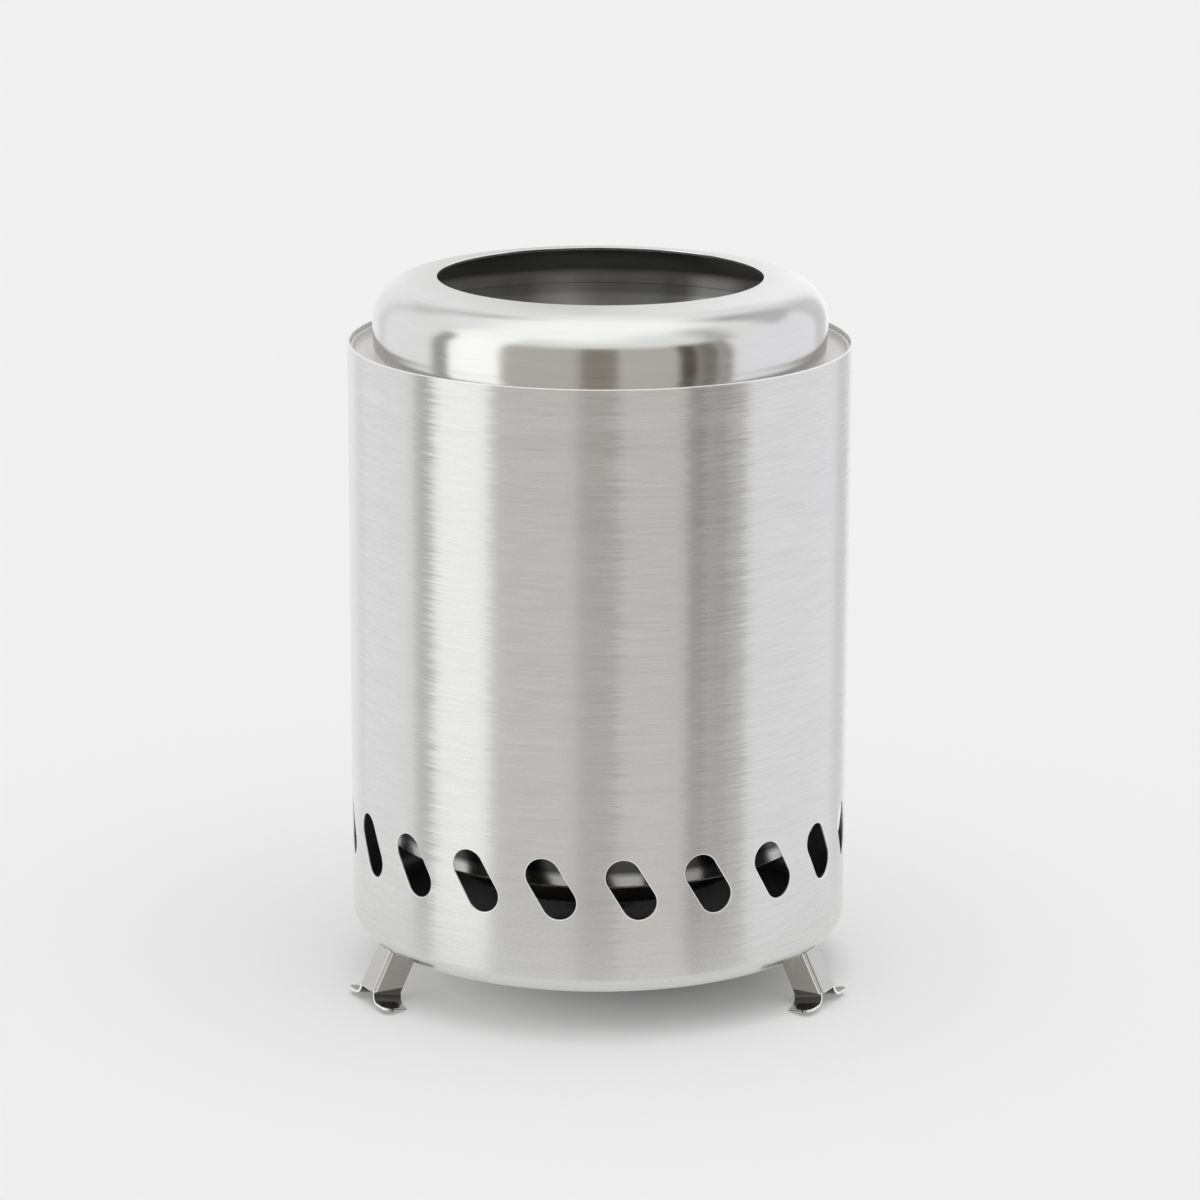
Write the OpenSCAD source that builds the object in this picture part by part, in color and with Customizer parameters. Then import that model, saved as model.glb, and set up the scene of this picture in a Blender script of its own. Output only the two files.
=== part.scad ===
// Twig stove: a double-walled fire pot with a domed flame ring, standing on three channel legs.
// Millimetres. The stove's axis is Z, the floor is z = 0 and the front is -Y.

/* [Shell] */
// Outside diameter of the outer shell
shell_d = 160; // [140:1:200]
// Height of the shell from its base to its rim
shell_h = 192; // [160:1:240]
// Thickness of the shell's sheet
shell_t = 0.7; // [0.5:0.1:1.2]
// Outside radius where the shell's wall turns into its base
shell_corner_r = 5.6; // [4:0.2:9]

/* [Vents] */
// Number of slanted vents round the shell
vent_count = 20; // [12:1:24]
// Width of a vent
vent_w = 10.9; // [7:0.1:13]
// Distance between the centres of a vent's two round ends
vent_reach = 9.9; // [4:0.1:14]
// Lean of a vent from upright
vent_lean = 31; // [0:1:40]
// Height of the vents' centres above the base
vent_z = 34.4; // [26:0.2:44]
// Turn of the first vent from the front
vent_turn = 7.4; // [0:0.2:18]

/* [Fire pot] */
// Air space between the shell and the fire pot
wall_gap = 9.3; // [6:0.1:12]
// Thickness of the pot's sheet
pot_t = 0.8; // [0.5:0.1:1.2]
// Drop from the shell's rim to the deck that joins the two walls
deck_drop = 4.8; // [4:0.1:8]
// Outside radius of the bend from the pot's wall to the deck
mouth_r = 1.2; // [1.2:0.1:2]
// Inside radius of the bend from the deck to its upturned lip
lip_r = 2; // [1:0.1:2.5]
// Height of the lip above the deck
lip_h = 3.2; // [2.6:0.1:3.8]
// Number of air jets near the pot's mouth
jet_count = 24; // [12:1:36]
// Diameter of an air jet
jet_d = 5; // [2:0.1:7]
// Drop from the deck to the middle of the jets
jet_drop = 17; // [15:0.5:30]

/* [Pot floor] */
// Height of the pot floor's underside above the shell's base
plenum_h = 31.1; // [24:0.1:45]
// Height of the floor's upturned skirt
floor_skirt_h = 6; // [5:0.5:15]
// Step from the pot's lower edge down to the floor's underside
floor_step = 1.5; // [1:0.1:3]
// Outside radius of the floor's corner
floor_corner_r = 2; // [1.4:0.1:4]
// Number of air holes in the pot's floor
floor_hole_count = 18; // [8:1:22]
// Diameter of an air hole in the pot's floor
floor_hole_d = 7; // [3:0.1:9]

/* [Flame ring] */
// Thickness of the ring's sheet
ring_t = 1; // [0.8:0.1:1.1]
// Height of the ring from the deck to the edge of its opening
ring_h = 25.2; // [22:0.2:34]
// Width of the ring from its widest point in to its opening
ring_w = 20.6; // [17:0.2:26]
// Amount that the ring's wall bulges past its foot
ring_belly = 0.7; // [0.3:0.1:1.5]
// Outside radius of the ring's shoulder
ring_shoulder_r = 13; // [9:0.2:15]
// Radius of the ring's shallow crown
ring_crown_r = 78; // [60:1:120]
// Slope of the crown where it meets the shoulder
ring_slope = 10.4; // [6:0.2:14]
// Height of the ring's widest point above the deck
ring_belly_z = 11.6; // [9:0.2:14]

/* [Ring collar] */
// Thickness of the locating collar's sheet
collar_t = 0.8; // [0.5:0.1:1]
// Depth of the collar below the deck
collar_drop = 10; // [6:0.5:12]
// Height above the deck to which the collar laps the ring's wall
collar_lap = 10; // [9:0.5:12]
// Height of the sweep by which the collar widens from the pot's mouth to the ring's wall
collar_sweep_h = 7; // [4:0.5:8]

/* [Ash pan] */
// Depth of the pan below the pot's floor
pan_depth = 13; // [8:0.5:20]
// Thickness of the pan's sheet
pan_t = 0.8; // [0.5:0.1:1.2]
// Width of the flange that the pan hangs by
pan_flange_w = 4.2; // [3.4:0.1:7]
// Outside radius of the pan's bottom corner
pan_corner_r = 3; // [1.5:0.1:6]

/* [Grate] */
// Thickness of the grate's outer wire
rim_wire_d = 2.4; // [1.6:0.1:3]
// Thickness of the grate's bars
bar_d = 2; // [1.2:0.1:2.6]
// Number of bars
bar_count = 11; // [7:2:13]
// Distance from bar to bar
bar_pitch = 7.4; // [4:0.1:7.6]
// Distance of each runner under the bars from the middle
runner_x = 24; // [10:1:34]

/* [Legs] */
// Height of the shell's base above the floor
leg_h = 16.2; // [13:0.2:26]
// Width of a leg's channel
leg_w = 9.4; // [8:0.1:13]
// Depth of the channel's sides, square to its face
leg_depth = 9.8; // [8:0.1:13]
// Thickness of the leg's sheet
leg_t = 0.8; // [0.6:0.1:1.2]
// Splay of a leg from upright
leg_splay = 26.8; // [15:0.2:32]
// Distance that a leg's outer face stands in from the shell's side, level with the base
leg_inset = 0.2; // [-1:0.1:3]
// Outside radius of the bends along the channel's corners
leg_bend_r = 1.5; // [1.3:0.1:2.5]
// Outside radius of the curl at the foot
foot_r = 3.6; // [2.4:0.1:4.6]
// Dip of the foot's fold toward the middle of the stove
foot_dip = 11; // [0:0.5:14]
// Reach of a toe beyond the leg's side, at the toe's outer corner
toe_reach = 9.4; // [8:0.1:12]
// Angle by which the toe's end runs off the fold
toe_taper = 17; // [0:0.5:20]
// Angle by which the toe's inner side runs off square to the fold
toe_rake = 7; // [0:0.5:20]
// Distance that the toe's outer side stands in from the leg's face
toe_inset = 0.4; // [0.2:0.1:1.2]
// Radius of the toe's outer corner
toe_corner_r = 2.6; // [1:0.1:3.4]
// Length of the tab that fastens the leg, inward from the leg's outer face
tab_l = 26; // [24:0.5:40]

/* [Rivets] */
// Diameter of a rivet's shank
rivet_d = 3.2; // [2:0.1:4]
// Diameter of a rivet's head
rivet_head_d = 6; // [4.4:0.1:6.4]
// Height of a rivet's head
rivet_head_h = 1.4; // [0.8:0.1:2.2]
// Distance between the two rivets of a leg
rivet_pitch = 9; // [7:0.5:12]

/* [Clearances] */
// Clearance round a fixed piece where it seats
seat_gap = 0.1; // [0.05:0.01:0.2]
// Clearance between the collar and the pot's mouth
collar_gap = 0.6; // [0.3:0.1:1]
// Clearance round the ash pan in the pot's floor
pan_gap = 0.7; // [0.4:0.1:1.2]
// Clearance round the pan and the grate as they pass the ring's opening
pass_gap = 1.1; // [0.6:0.1:2]
// Clearance between a round wire and its seat
wire_gap = 0.3; // [0.2:0.05:0.4]

/* [Hidden] */
$fn = 96;

steel = [0.74, 0.74, 0.73];
inner_steel = [0.55, 0.55, 0.55];
ring_steel = [0.80, 0.80, 0.79];
wire_steel = [0.45, 0.44, 0.43];
rivet_steel = [0.66, 0.66, 0.66];

// Levels, from the floor up
base_z = leg_h;
rim_z = base_z + shell_h;
deck_z = rim_z - deck_drop;
floor_z = base_z + plenum_h;
floor_top_z = floor_z + pot_t;
pan_z = floor_z - pan_depth;
flange_top_z = floor_top_z + pan_t;
rim_wire_z = flange_top_z + wire_gap + rim_wire_d / 2;
bar_z = rim_wire_z + rim_wire_d / 2 + bar_d / 2 + seat_gap / 2;

// Radii, from the outside in
shell_r = shell_d / 2;
shell_ir = shell_r - shell_t;
pot_r = shell_ir - wall_gap;
pot_ir = pot_r - pot_t;
deck_in_r = pot_ir + mouth_r;
lip_ir = shell_ir - seat_gap - pot_t;
ring_seat_w = ring_t + seat_gap;
ring_foot_r = deck_in_r + ring_seat_w;
ring_r = ring_foot_r + ring_belly;
open_r = ring_r - ring_w;
collar_r = pot_ir - collar_gap;
pan_flange_r = open_r - pass_gap;
pan_r = pan_flange_r - pan_flange_w;
floor_open_r = pan_r + pan_gap;
floor_r = pot_ir - seat_gap;
floor_hole_ring_r = (floor_open_r + pan_flange_w + floor_r - floor_corner_r) / 2;
rim_wire_r = pan_flange_r - rim_wire_d / 2 - seat_gap;

// Flame ring: the shoulder's end, the crown and the wall's lower curve
shoulder_end_r = ring_r - ring_shoulder_r * (1 - sin(ring_slope));
edge_slope = asin(sin(ring_slope) - (shoulder_end_r - open_r) / ring_crown_r);
shoulder_z = deck_z + ring_h
    - ring_shoulder_r * cos(ring_slope)
    - ring_crown_r * (cos(edge_slope) - cos(ring_slope));
belly_z = deck_z + min(ring_belly_z, shoulder_z - deck_z);
belly_drop = belly_z - deck_z;
belly_r = (belly_drop * belly_drop + ring_belly * ring_belly) / (2 * ring_belly);

// How far a cut runs past the sheet that it goes through
over = 1;

// Legs: turn of each one, counted from +X
leg_turns = [210, 330, 90];
leg_face_r = shell_r - leg_inset;
fold_l = leg_depth / cos(leg_splay - foot_dip);
fold_z = foot_r * cos(foot_dip) + (fold_l - (foot_r - leg_t) * tan(toe_rake)) * sin(foot_dip);
fold_r = leg_face_r + (base_z - fold_z) * tan(leg_splay);
fold_lap = leg_t / 4;
tab_end_r = leg_face_r - tab_l;
tab_half_w = (leg_w - leg_t) / 2;
rivet_in_r = tab_end_r + tab_half_w;
rivet_radii = [rivet_in_r, rivet_in_r + rivet_pitch];

// Radius of the outside of the ring's wall at a height between the deck and its widest point
function ring_wall_r(z) = ring_r - belly_r + sqrt(belly_r * belly_r - pow(belly_z - z, 2));

// Points of an arc by the slope of its surface, from a0 to a1 in equal steps, the first ones left out
function slope_arc(cx, cz, r, a0, a1, steps, left_out) =
    [for (i = [left_out:steps]) let(a = a0 + (a1 - a0) * i / steps) [cx + r * sin(a), cz + r * cos(a)]];

// Points down the ring's wall, inset from its outer face
function wall_points(z0, z1, inset, steps) =
    [for (i = [0:steps]) let(z = z0 + (z1 - z0) * i / steps) [ring_wall_r(z) - inset, z]];

// One face of the ring's sheet, from the opening's edge to the deck
function ring_face(inset) = concat(
    slope_arc(shoulder_end_r - ring_shoulder_r * sin(ring_slope)
            - (ring_crown_r - ring_shoulder_r) * sin(ring_slope),
        shoulder_z - (ring_crown_r - ring_shoulder_r) * cos(ring_slope),
        ring_crown_r - inset, edge_slope, ring_slope, 4, 0),
    slope_arc(ring_r - ring_shoulder_r, shoulder_z, ring_shoulder_r - inset,
        ring_slope, 90, 16, 1),
    wall_points(belly_z, deck_z, inset, 6));

function reversed(list) = [for (i = [len(list) - 1:-1:0]) list[i]];

// Half outline of a cup with a rounded corner, standing on z = 0
module cup_outline(r, h, corner_r) {
    square([r - corner_r, h]);
    translate([0, corner_r]) square([r, h - corner_r]);
    translate([r - corner_r, corner_r]) circle(corner_r);
}

// Half outline of a cup's sheet, open at the top
module cup_sheet(r, h, corner_r, t) {
    difference() {
        intersection() {
            cup_outline(r, h, corner_r);
            square([r, h]);
        }
        translate([0, t]) cup_outline(r - t, h, corner_r - t);
    }
}

// Quarter of a bend in sheet metal, in the quadrant that side and up point to
module bend_section(outer_r, t, side, up) {
    intersection() {
        difference() {
            circle(outer_r);
            circle(outer_r - t);
        }
        translate([side < 0 ? -outer_r : 0, up < 0 ? -outer_r : 0]) square(outer_r);
    }
}

module vent_outline() {
    rotate(vent_lean) {
        square([vent_w, vent_reach], center = true);
        for (side = [-1, 1]) translate([0, side * vent_reach / 2]) circle(d = vent_w);
    }
}

// Everything that the shell takes up, grown by a clearance
module shell_envelope(gap) {
    translate([0, 0, base_z - gap])
        rotate_extrude() cup_outline(shell_r + gap, shell_h, shell_corner_r + gap);
}

module at_rivets() {
    for (turn = leg_turns) for (r = rivet_radii)
        rotate([0, 0, turn]) translate([r, 0, 0]) children();
}

module outer_shell() {
    color(steel) difference() {
        translate([0, 0, base_z])
            rotate_extrude() cup_sheet(shell_r, shell_h, shell_corner_r, shell_t);
        for (i = [0:vent_count - 1])
            rotate([0, 0, vent_turn - 90 + i * 360 / vent_count])
                translate([shell_r - wall_gap / 2, 0, base_z + vent_z])
                    rotate([90, 0, 90]) linear_extrude(wall_gap) vent_outline();
        at_rivets() translate([0, 0, base_z - over])
            cylinder(d = rivet_d + 2 * seat_gap, h = shell_t + 2 * over);
    }
}

module pot_section() {
    wall_z = floor_z + floor_step;
    lip_bend_r = lip_ir - lip_r;
    translate([pot_ir, wall_z]) square([pot_t, deck_z - mouth_r - wall_z]);
    translate([deck_in_r, deck_z - mouth_r]) bend_section(mouth_r, pot_t, -1, 1);
    translate([deck_in_r, deck_z - pot_t]) square([lip_bend_r - deck_in_r, pot_t]);
    translate([lip_bend_r, deck_z + lip_r]) bend_section(lip_r + pot_t, pot_t, 1, -1);
    translate([lip_ir, deck_z + lip_r]) square([pot_t, lip_h - lip_r]);
}

module fire_pot() {
    color(inner_steel) difference() {
        rotate_extrude() pot_section();
        for (i = [0:jet_count - 1])
            rotate([0, 0, (i + 0.5) * 360 / jet_count])
                translate([pot_ir - over, 0, deck_z - jet_drop])
                    rotate([0, 90, 0]) cylinder(d = jet_d, h = pot_t + 2 * over);
    }
}

module pot_floor() {
    color(inner_steel) difference() {
        translate([0, 0, floor_z])
            rotate_extrude() cup_sheet(floor_r, floor_skirt_h, floor_corner_r, pot_t);
        translate([0, 0, floor_z - over]) cylinder(r = floor_open_r, h = pot_t + 2 * over);
        for (i = [0:floor_hole_count - 1])
            rotate([0, 0, i * 360 / floor_hole_count])
                translate([floor_hole_ring_r, 0, floor_z - over])
                    cylinder(d = floor_hole_d, h = pot_t + 2 * over);
    }
}

module flame_ring() {
    color(ring_steel)
        rotate_extrude() polygon(concat(ring_face(0), reversed(ring_face(ring_t))));
}

module ring_collar() {
    lap_inset = ring_t + seat_gap / 2;
    sweep_steps = 12;
    sweep_top_z = deck_z + collar_gap + collar_sweep_h;
    widening = ring_wall_r(sweep_top_z) - lap_inset - collar_r;
    outer_face = concat(
        wall_points(deck_z + collar_lap, sweep_top_z, lap_inset, 2),
        [for (i = [1:sweep_steps])
            [collar_r + widening * (1 + cos(180 * i / sweep_steps)) / 2,
                sweep_top_z - collar_sweep_h * i / sweep_steps]],
        [[collar_r, deck_z - collar_drop]]);
    inner_face = [for (p = outer_face) [p[0] - collar_t, p[1]]];
    color(ring_steel) rotate_extrude() polygon(concat(outer_face, reversed(inner_face)));
}

module ash_pan() {
    color(inner_steel) rotate_extrude() {
        translate([0, pan_z])
            cup_sheet(pan_r, pan_depth + pot_t + pan_t, pan_corner_r, pan_t);
        translate([pan_r - pan_t / 2, floor_top_z]) square([pan_flange_w + pan_t / 2, pan_t]);
    }
}

module grate_rim() {
    color(wire_steel) translate([0, 0, rim_wire_z])
        rotate_extrude() translate([rim_wire_r, 0]) circle(d = rim_wire_d);
}

// Two wires that run under the bars, inside the rim
module grate_runners() {
    reach = rim_wire_r - rim_wire_d / 2 - seat_gap;
    half_l = sqrt(reach * reach - pow(runner_x + rim_wire_d / 2, 2));
    color(wire_steel) for (side = [-1, 1])
        translate([side * runner_x, half_l, rim_wire_z])
            rotate([90, 0, 0]) cylinder(d = rim_wire_d, h = 2 * half_l);
}

module grate_bars() {
    color(wire_steel) for (i = [0:bar_count - 1]) {
        y = (i - (bar_count - 1) / 2) * bar_pitch;
        half_l = sqrt(rim_wire_r * rim_wire_r - y * y);
        translate([-half_l, y, bar_z]) rotate([0, 90, 0]) cylinder(d = bar_d, h = 2 * half_l);
    }
}

// Section of the leg's channel, square to the leg: the web's outer face is on y = 0
module channel_section() {
    inner_r = leg_bend_r - leg_t;
    inner_half_w = leg_w / 2 - leg_t;
    difference() {
        union() {
            translate([-leg_w / 2, -leg_depth]) square([leg_w, leg_depth - leg_bend_r]);
            translate([-leg_w / 2 + leg_bend_r, -leg_bend_r]) square([leg_w - 2 * leg_bend_r, leg_bend_r]);
            for (side = [-1, 1])
                translate([side * (leg_w / 2 - leg_bend_r), -leg_bend_r]) circle(leg_bend_r);
        }
        translate([-inner_half_w, -leg_depth - over])
            square([2 * inner_half_w, leg_depth + over - leg_bend_r]);
        translate([-inner_half_w + inner_r, -leg_bend_r]) square([2 * (inner_half_w - inner_r), inner_r]);
        for (side = [-1, 1])
            translate([side * (inner_half_w - inner_r), -leg_bend_r]) circle(inner_r);
    }
}

// Section of the foot: the channel's side curls outward and ends flat
module foot_section() {
    translate([-leg_t, 0]) square([leg_t, fold_lap]);
    translate([foot_r - leg_t, 0]) bend_section(foot_r, leg_t, -1, -1);
    translate([foot_r - leg_t, -foot_r]) square([toe_reach, leg_t]);
}

// Outline of a toe from above: x runs outward along the fold, y away from the leg's side
module toe_outline() {
    corner_y = toe_reach - toe_corner_r * (1 + sin(toe_taper)) / cos(toe_taper);
    toe_w = fold_l - toe_inset;
    corner = [-toe_inset - toe_corner_r, corner_y];
    tangent = corner + toe_corner_r * [-sin(toe_taper), cos(toe_taper)];
    tip_y = (toe_reach - toe_w * tan(toe_taper)) / (1 - tan(toe_rake) * tan(toe_taper));
    tip = [-fold_l + tip_y * tan(toe_rake), tip_y];
    translate(corner) circle(toe_corner_r);
    polygon([[-toe_inset, -leg_t], [-toe_inset, corner_y], corner, tangent, tip,
        [-fold_l, 0], [-fold_l, -leg_t]]);
}

module toe() {
    translate([fold_r, leg_w / 2, fold_z]) rotate([0, -foot_dip, 0]) intersection() {
        translate([-fold_l, 0, 0]) rotate([90, 0, 90]) linear_extrude(fold_l) foot_section();
        translate([0, 0, -foot_r - over]) linear_extrude(foot_r + over + fold_lap) toe_outline();
    }
}

// Channel from the fold of the feet up into the shell's corner
module leg_channel() {
    rise = base_z + shell_corner_r - fold_z;
    reach = rise / cos(leg_splay);
    intersection() {
        translate([fold_r, 0, fold_z]) rotate([0, -leg_splay, 0]) translate([0, 0, -leg_depth])
            rotate([0, 0, -90]) linear_extrude(reach + leg_depth) channel_section();
        translate([fold_r, 0, fold_z]) rotate([0, -foot_dip, 0])
            translate([-3 * reach, -leg_w, 0]) cube([4 * reach, 2 * leg_w, 2 * reach]);
    }
}

// Tab under the shell's base, with a round end, welded into the channel's sides and web
module leg_tab() {
    translate([rivet_in_r, 0, base_z - seat_gap - leg_t]) {
        translate([0, -tab_half_w, 0]) cube([leg_face_r - leg_t / 2 - rivet_in_r, 2 * tab_half_w, leg_t]);
        cylinder(r = tab_half_w, h = leg_t);
    }
}

// One leg, pointing along +X
module leg() {
    difference() {
        union() {
            leg_channel();
            toe();
            mirror([0, 1, 0]) toe();
            leg_tab();
        }
        shell_envelope(seat_gap);
        for (r = rivet_radii)
            translate([r, 0, base_z - 3 * leg_t]) cylinder(d = rivet_d + 2 * seat_gap, h = 4 * leg_t);
    }
}

module leg_left() {
    color(steel) rotate([0, 0, leg_turns[0]]) leg();
}

module leg_right() {
    color(steel) rotate([0, 0, leg_turns[1]]) leg();
}

module leg_rear() {
    color(steel) rotate([0, 0, leg_turns[2]]) leg();
}

// Low domed head of a rivet, flat side on z = 0
module rivet_head() {
    cap_r = (rivet_head_h * rivet_head_h + rivet_head_d * rivet_head_d / 4) / (2 * rivet_head_h);
    intersection() {
        translate([0, 0, rivet_head_h - cap_r]) sphere(cap_r);
        cylinder(d = rivet_head_d, h = rivet_head_h);
    }
}

module leg_rivets() {
    low_z = base_z - seat_gap - leg_t;
    high_z = base_z + shell_t;
    color(rivet_steel) at_rivets() {
        translate([0, 0, low_z]) cylinder(d = rivet_d, h = high_z - low_z);
        translate([0, 0, high_z]) rivet_head();
        translate([0, 0, low_z]) mirror([0, 0, 1]) rivet_head();
    }
}

outer_shell();
fire_pot();
pot_floor();
flame_ring();
ring_collar();
ash_pan();
grate_rim();
grate_runners();
grate_bars();
leg_left();
leg_right();
leg_rear();
leg_rivets();
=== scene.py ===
"""Finish of a double-walled twig stove: rounded edges, brushed and spun steel, and its studio."""

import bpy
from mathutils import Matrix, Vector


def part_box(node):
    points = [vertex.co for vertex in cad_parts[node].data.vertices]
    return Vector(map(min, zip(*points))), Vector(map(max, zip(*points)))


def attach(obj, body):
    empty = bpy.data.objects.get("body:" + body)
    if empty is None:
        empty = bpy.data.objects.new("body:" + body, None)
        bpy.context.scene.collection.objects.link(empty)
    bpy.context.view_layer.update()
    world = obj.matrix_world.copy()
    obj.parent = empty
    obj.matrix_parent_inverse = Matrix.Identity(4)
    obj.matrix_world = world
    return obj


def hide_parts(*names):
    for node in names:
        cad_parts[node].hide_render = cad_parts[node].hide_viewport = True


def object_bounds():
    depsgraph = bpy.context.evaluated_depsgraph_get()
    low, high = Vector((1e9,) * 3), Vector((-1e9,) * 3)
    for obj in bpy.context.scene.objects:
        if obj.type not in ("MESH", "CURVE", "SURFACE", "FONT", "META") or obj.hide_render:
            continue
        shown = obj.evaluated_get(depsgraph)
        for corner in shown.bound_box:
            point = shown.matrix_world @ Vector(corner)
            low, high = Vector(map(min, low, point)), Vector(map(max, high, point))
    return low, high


bl_info = {
    "name": "Twig Stove Finish",
    "version": (1, 0, 0),
    "blender": (4, 5, 0),
    "location": "3D View > Sidebar > Twig Stove",
    "description": "Finishes a double-walled twig stove and lights it in a pale studio",
    "category": "Object",
}

import math

import bpy
from bpy.props import FloatProperty, FloatVectorProperty, IntProperty, PointerProperty
from mathutils import Matrix
from mathutils.bvhtree import BVHTree

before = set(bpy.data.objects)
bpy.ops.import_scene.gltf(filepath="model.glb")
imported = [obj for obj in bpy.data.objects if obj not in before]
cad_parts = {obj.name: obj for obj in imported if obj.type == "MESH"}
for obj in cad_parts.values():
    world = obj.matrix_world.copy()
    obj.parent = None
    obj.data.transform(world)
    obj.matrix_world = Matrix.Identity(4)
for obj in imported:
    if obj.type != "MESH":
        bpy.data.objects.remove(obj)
CAD_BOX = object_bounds()

MM = 0.001
UPRIGHT = (0.0, 0.0, 1.0)

# Bodies of the frame
STOVE = "stove"
RING = "flame_ring"

# Mending of a copied CAD mesh before its edges are rounded
MERGE_DISTANCE = 0.002 * MM
MERGE_SHARE = 0.14                  # of the shortest edge that is rounded
SMALLEST_FACE = 0.01 * MM
FLAT_ANGLE = math.radians(0.6)      # faces that turn less than this become one
SMOOTH_ANGLE = math.radians(32)

# Noise in the steel: its middle value, and its waves to a metre along x, y and z
NOISE_MIDDLE = 0.5
BRUSH_SPREAD = 60.0                 # along x and y, for the brush lines
SMEAR_WAVES = (9.0, 9.0, 160.0)
REFLECTION_PATCH_WAVES = (34.0, 34.0, 7.0)
STAIN_WAVES = (60.0, 20.0, 9.0)
CLOUD_WAVES = 38.0

# What the brush lines and smears do to the steel
LINE_SHARE = 0.8                    # of the shade that comes from the lines, not the smears
SHADE_GAIN = 2.4
LINE_ROUGHNESS = 0.12
SMEAR_ROUGHNESS = 0.06

# What grain and clouds do to the steel
GRAIN_ROUGHNESS = 0.14
CLOUD_ROUGHNESS = 0.1
CLOUD_SHADES = (0.9, 1.08)
GRAIN_HEIGHT = 0.1 * MM
FINE_GRAIN = (2600.0, 0.02)         # waves to a metre, and strength
EDGE_GRAIN = (2400.0, 0.02)
WIRE_GRAIN = (3200.0, 0.03)
LEG_GRAIN = (1900.0, 0.02)

FACING_GAIN = 12.0                  # sharpness of the change from the outside to the inside
QUARTER_TURN = 0.25                 # from the anisotropy's own direction to round the axis

# Painted reflection patches of the pot's wall, and stains of the mouth: where each starts and its
# fade, and its shades
REFLECTION_PATCH_START, REFLECTION_PATCH_FADE = 0.36, 0.3
REFLECTION_PATCH_SHADES = (1.0, 2.0)
STAIN_START, STAIN_FADE = 0.3, 0.4
STAIN_SHADES = (0.75, 1.2)
STAINED_METALLIC = 0.2
# How much lighter the painted reflection patches are than the stain's colour
MOUTH_REFLECTION_SHADE = 2.0
# Painted reflection patches on the stained mouth: left and right edge, fade, share
MOUTH_REFLECTION_PATCHES = (
    (-19.0 * MM, -5.0 * MM, 10.0 * MM, 0.3),
    (31.0 * MM, 45.0 * MM, 6.0 * MM, 1.0),
)

# Outer shell: height of its parts from its base or below its rim, and the fade at their ends
SHELL_CORNER, SHELL_CORNER_FADE = 7.0 * MM, 1.0 * MM
SHELL_BASE, SHELL_BASE_FADE = 3.0 * MM, 1.0 * MM
SHELL_TROUGH, SHELL_TROUGH_FADE = 12.0 * MM, 2.0 * MM
SKIN_DEPTH, SKIN_FADE = 0.09 * MM, 0.04 * MM
CUT_MARGIN = 0.05                   # share of the sheet by which a cut's face keeps off its sides

# Flame ring: height of its parts from its foot, and the fade at their upper ends
RING_STAIN, RING_STAIN_FADE = 15.0 * MM, 3.0 * MM
RING_WALL, RING_WALL_FADE = 14.0 * MM, 8.0 * MM
RING_HEM, RING_HEM_FADE = 5.6 * MM, 1.6 * MM
RING_LEAN = 0.16                    # upward turn of the wall's surface, and again of the hem's
RING_BRUSH = (1.4, 0.16)            # its lines and tilt, as shares of the shell's
# Collar's faces that look up get painted shade: how far they look up, and the fade
COLLAR_TOP_FACING, COLLAR_TOP_FADE = 0.7, 0.125     # how far its top's faces look up

# Fire pot and ash pan: distance of a part from its edge or wall, and its fade
DECK_DROP, DECK_FADE = 6.0 * MM, 1.0 * MM
POT_SKIN, POT_SKIN_FADE = 0.4 * MM, 0.2 * MM
# Fade of the painted reflection band above the pot's floor
POT_REFLECTION_FADE = 2.0 * MM
POT_INSIDE_DULL = 0.6               # share of the deck's dullness
# Painted highlight round the pan's bottom edge: its half width and fade
PAN_HIGHLIGHT_REACH, PAN_HIGHLIGHT_FADE = 1.0 * MM, 0.4 * MM

# Legs: how far a face looks up or down, and where its painted shade and painted highlight start
LEG_SIDE_FACING = 1.0 / 6.0
LEG_BEND_HIGHLIGHT_FACING = (0.1, 0.34, 0.06)
LEG_CURL, LEG_CURL_FADE = 5.4 * MM, 0.3 * MM
LEG_CURL_FACING = 0.5

# Bands of light and shade round the studio, as the steel shows them. Each has its two edges in
# degrees from the camera's side towards +X, the width over which an edge fades, and its light.
STUDIO_WALLS = (
    (-176.0, -93.0, 6.0, (0.94, 0.94, 0.95)),
    (-147.0, -137.0, 8.0, (0.80, 0.80, 0.81)),
    (-91.5, -81.5, 4.0, (0.38, 0.38, 0.37)),
    (-81.0, -50.0, 4.0, (1.30, 1.31, 1.27)),
    (-50.0, -10.0, 6.0, (0.53, 0.515, 0.485)),
    (-10.5, 10.5, 5.0, (0.27, 0.245, 0.21)),
    (10.0, 39.5, 8.0, (0.535, 0.515, 0.48)),
    (39.5, 50.0, 4.0, (0.09, 0.07, 0.055)),
    (50.0, 62.0, 5.0, (0.21, 0.195, 0.18)),
    (62.0, 70.0, 5.0, (0.36, 0.345, 0.33)),
    (70.0, 138.0, 5.0, (0.93, 0.93, 0.96)),
    (138.0, 150.0, 6.0, (0.70, 0.70, 0.72)),
    (158.0, 178.0, 8.0, (1.05, 1.05, 1.07)),
)
STUDIO_EAVES = (
    (-88.0, -46.0, 8.0, (1.25, 1.25, 1.23)),
    (60.0, 80.0, 12.0, (0.55, 0.545, 0.54)),
    (-152.0, -130.0, 12.0, (0.70, 0.70, 0.71)),
    (112.0, 148.0, 14.0, (0.56, 0.56, 0.57)),
)
STUDIO_ROOF = (
    (-180.0, -86.0, 24.0, (0.98, 0.98, 0.99)),
    (-160.0, -136.0, 14.0, (0.66, 0.66, 0.67)),
    (14.0, 180.0, 34.0, (0.97, 0.97, 0.98)),
    (60.0, 88.0, 20.0, (0.60, 0.595, 0.59)),
    (118.0, 146.0, 14.0, (0.5, 0.5, 0.51)),
)
WALL_LIGHT = (0.74, 0.74, 0.73, 1.0)
EAVES_LIGHT = (0.93, 0.93, 0.93, 1.0)
ROOF_LIGHT = (1.22, 1.22, 1.22, 1.0)
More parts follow.
